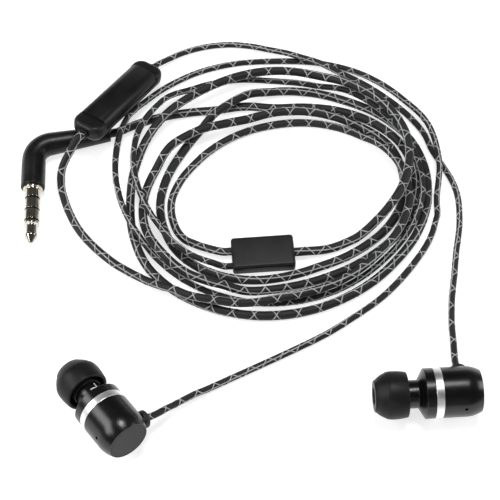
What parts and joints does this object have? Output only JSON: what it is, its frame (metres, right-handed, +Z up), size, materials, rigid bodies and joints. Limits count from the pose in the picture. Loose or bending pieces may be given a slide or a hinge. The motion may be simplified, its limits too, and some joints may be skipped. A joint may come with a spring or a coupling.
{
  "type": "wired earphones",
  "caption": "Wired in-ear earphones with soft tips, metal trim rings, an in-line remote, a splitter and an angled jack plug, their cords coiled flat.",
  "frame": {"origin": "middle of the footprint of the two earbuds, on the surface that the set lies on", "axes": "+X from the left earbud to the right one, +Y from the earbuds to the coiled cords, +Z up"},
  "size_m": [0.1013, 0.1105, 0.013],
  "materials": {
    "silicone": "soft satin black silicone",
    "shell": "smooth black",
    "screen": "fine woven",
    "trim": "polished",
    "cap": "dark grey satin",
    "boot": "matte black",
    "driver_metal": "stamped",
    "film": "thin film",
    "copper": "enamelled copper wire",
    "magnet": "nickel plated",
    "yoke_steel": "plain",
    "remote_shell": "fine matte black",
    "button": "satin black",
    "board": "green circuit board",
    "switch_metal": "plain",
    "mic_metal": "plain",
    "splitter": "satin black",
    "core": "cast resin",
    "moulding": "satin black",
    "contact": "nickel plated",
    "insulator": "black",
    "cord": "charcoal with fine light-grey threads"
  },
  "bodies": {
    "earphones": {"left_front_shell": "shell", "left_nozzle_screen": "screen", "left_trim_ring": "trim", "left_rear_shell": "shell", "left_end_cap": "cap", "left_cable_boot": "boot", "left_driver_frame": "driver_metal", "left_diaphragm": "film", "left_voice_coil": "copper", "left_magnet": "magnet", "left_yoke": "yoke_steel", "right_front_shell": "shell", "right_nozzle_screen": "screen", "right_trim_ring": "trim", "right_rear_shell": "shell", "right_end_cap": "cap", "right_cable_boot": "boot", "right_driver_frame": "driver_metal", "right_diaphragm": "film", "right_voice_coil": "copper", "right_magnet": "magnet", "right_yoke": "yoke_steel", "remote_base": "remote_shell", "remote_cover": "remote_shell", "circuit_board": "board", "tact_switch": "switch_metal", "mic_capsule": "mic_metal", "splitter_body": "splitter", "splitter_core": "core", "plug_moulding": "moulding", "jack_sleeve": "contact", "jack_ring_2": "contact", "jack_ring_1": "contact", "jack_tip": "contact", "jack_insulators": "insulator", "main_cord_coil": "cord", "main_cord_lead": "cord", "remote_cord_coil": "cord", "remote_cord_lead": "cord", "left_cord_coil": "cord", "left_cord_lead": "cord", "right_cord_lead": "cord"},
    "left_tip": {"left_ear_tip": "silicone"},
    "right_tip": {"right_ear_tip": "silicone"},
    "button": {"remote_button": "button"}
  },
  "joints": [
    {"name": "left_tip_slide", "type": "slide", "parent": "earphones", "child": "left_tip", "axis": [-0.6063, 0.776, -0.1736], "range_m": [0, 0.0065]},
    {"name": "right_tip_slide", "type": "slide", "parent": "earphones", "child": "right_tip", "axis": [-0.9982, -0.0593, 0], "range_m": [0, 0.0065]},
    {"name": "button_press", "type": "slide", "parent": "earphones", "child": "button", "axis": [-0.1246, -0.2074, -0.9703], "range_m": [0, 0.0003], "stiffness_N_per_m": 500, "springref_m": -0.0002}
  ]
}
